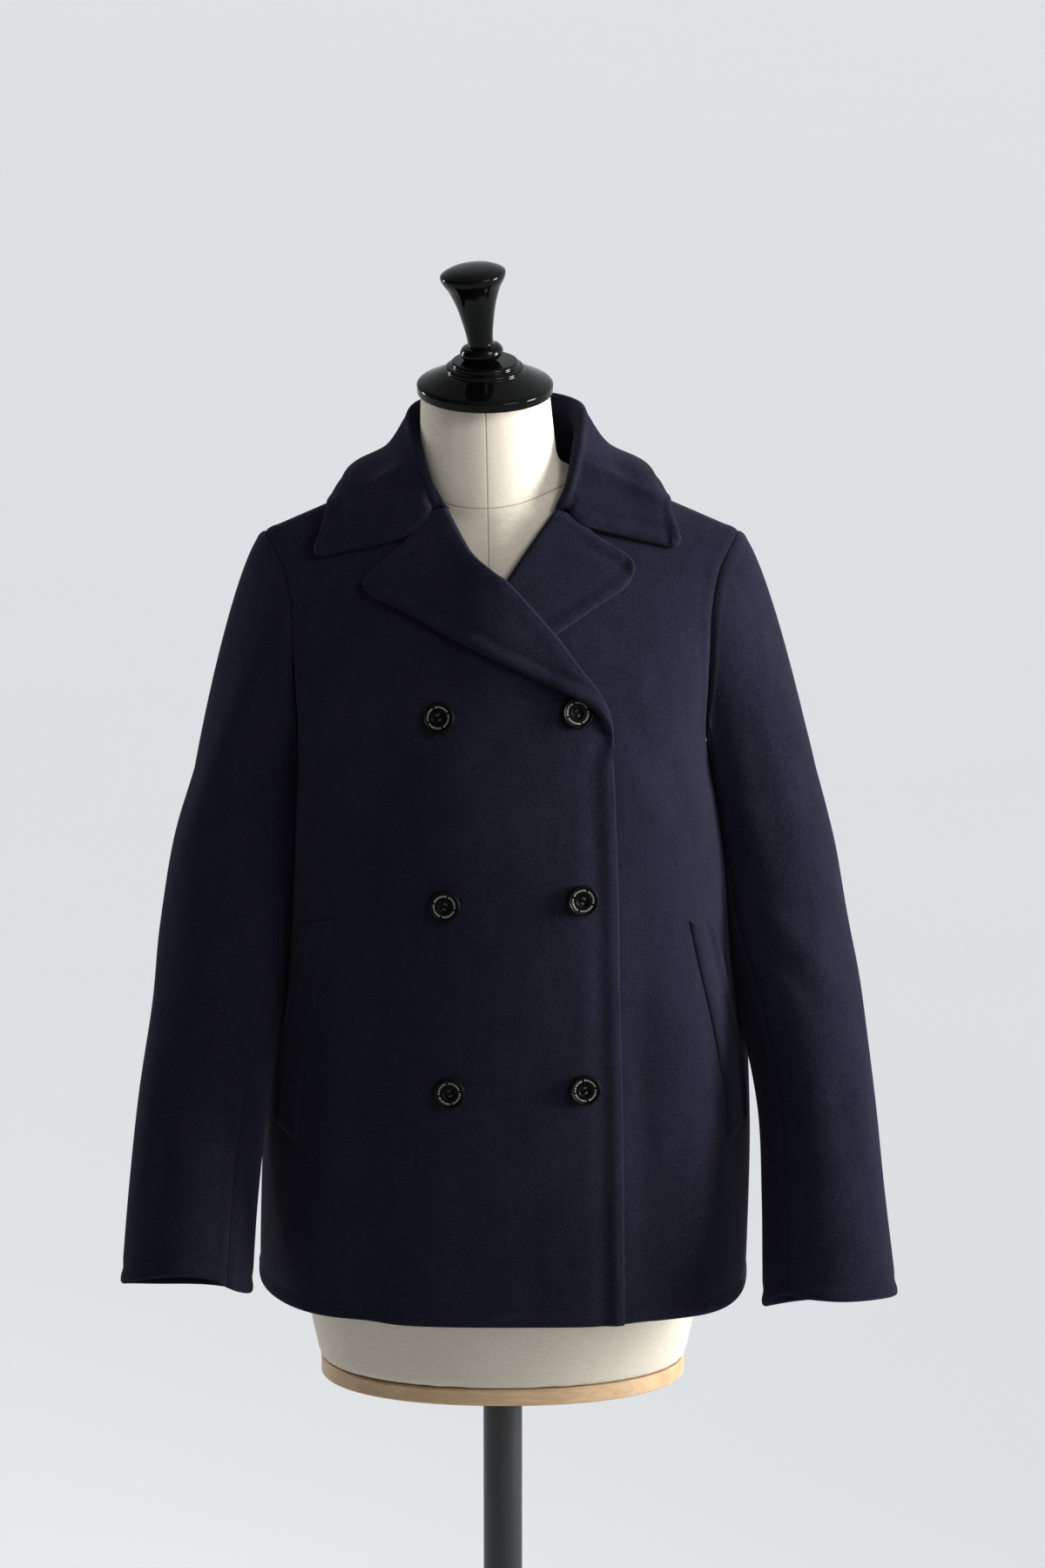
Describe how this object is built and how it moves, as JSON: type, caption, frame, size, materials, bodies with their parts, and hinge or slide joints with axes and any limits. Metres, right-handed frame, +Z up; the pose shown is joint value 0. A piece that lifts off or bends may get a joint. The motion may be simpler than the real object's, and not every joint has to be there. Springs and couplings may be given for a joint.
{
  "type": "pea coat on a dress form",
  "caption": "Double-breasted hip-length pea coat in thick navy wool, buttoned and hanging on a limbless linen dress form with a lacquered neck cap on a pole stand.",
  "frame": {"origin": "middle of the underside of the stand's round base", "axes": "+Z up along the pole; the coat's front faces -Y; +X is towards the wearer's left"},
  "size_m": [0.6136, 0.38, 1.571],
  "materials": {
    "melton": "thick brushed wool melton with a short fine nap, matt",
    "button_black": "polished black with small plain pale marks",
    "linen": "plain-weave ecru linen, matt",
    "black_lacquer": "turned wood in black high-gloss lacquer",
    "pale_wood": "plain waxed wood",
    "black_steel": "black satin paint"
  },
  "bodies": {
    "root": {"back": "melton", "right_front": "melton", "left_front": "melton", "lapel_right": "melton", "lapel_left": "melton", "collar": "melton", "sleeve_right_top": "melton", "sleeve_right_under": "melton", "sleeve_left_top": "melton", "sleeve_left_under": "melton", "welt_right": "melton", "welt_left": "melton", "button_1": "button_black", "button_2": "button_black", "button_3": "button_black", "button_4": "button_black", "button_5": "button_black", "button_6": "button_black", "form_body": "linen", "neck_cap": "black_lacquer", "finial": "black_lacquer", "bottom_board": "pale_wood", "pole": "black_steel", "base": "black_steel"}
  },
  "joints": []
}
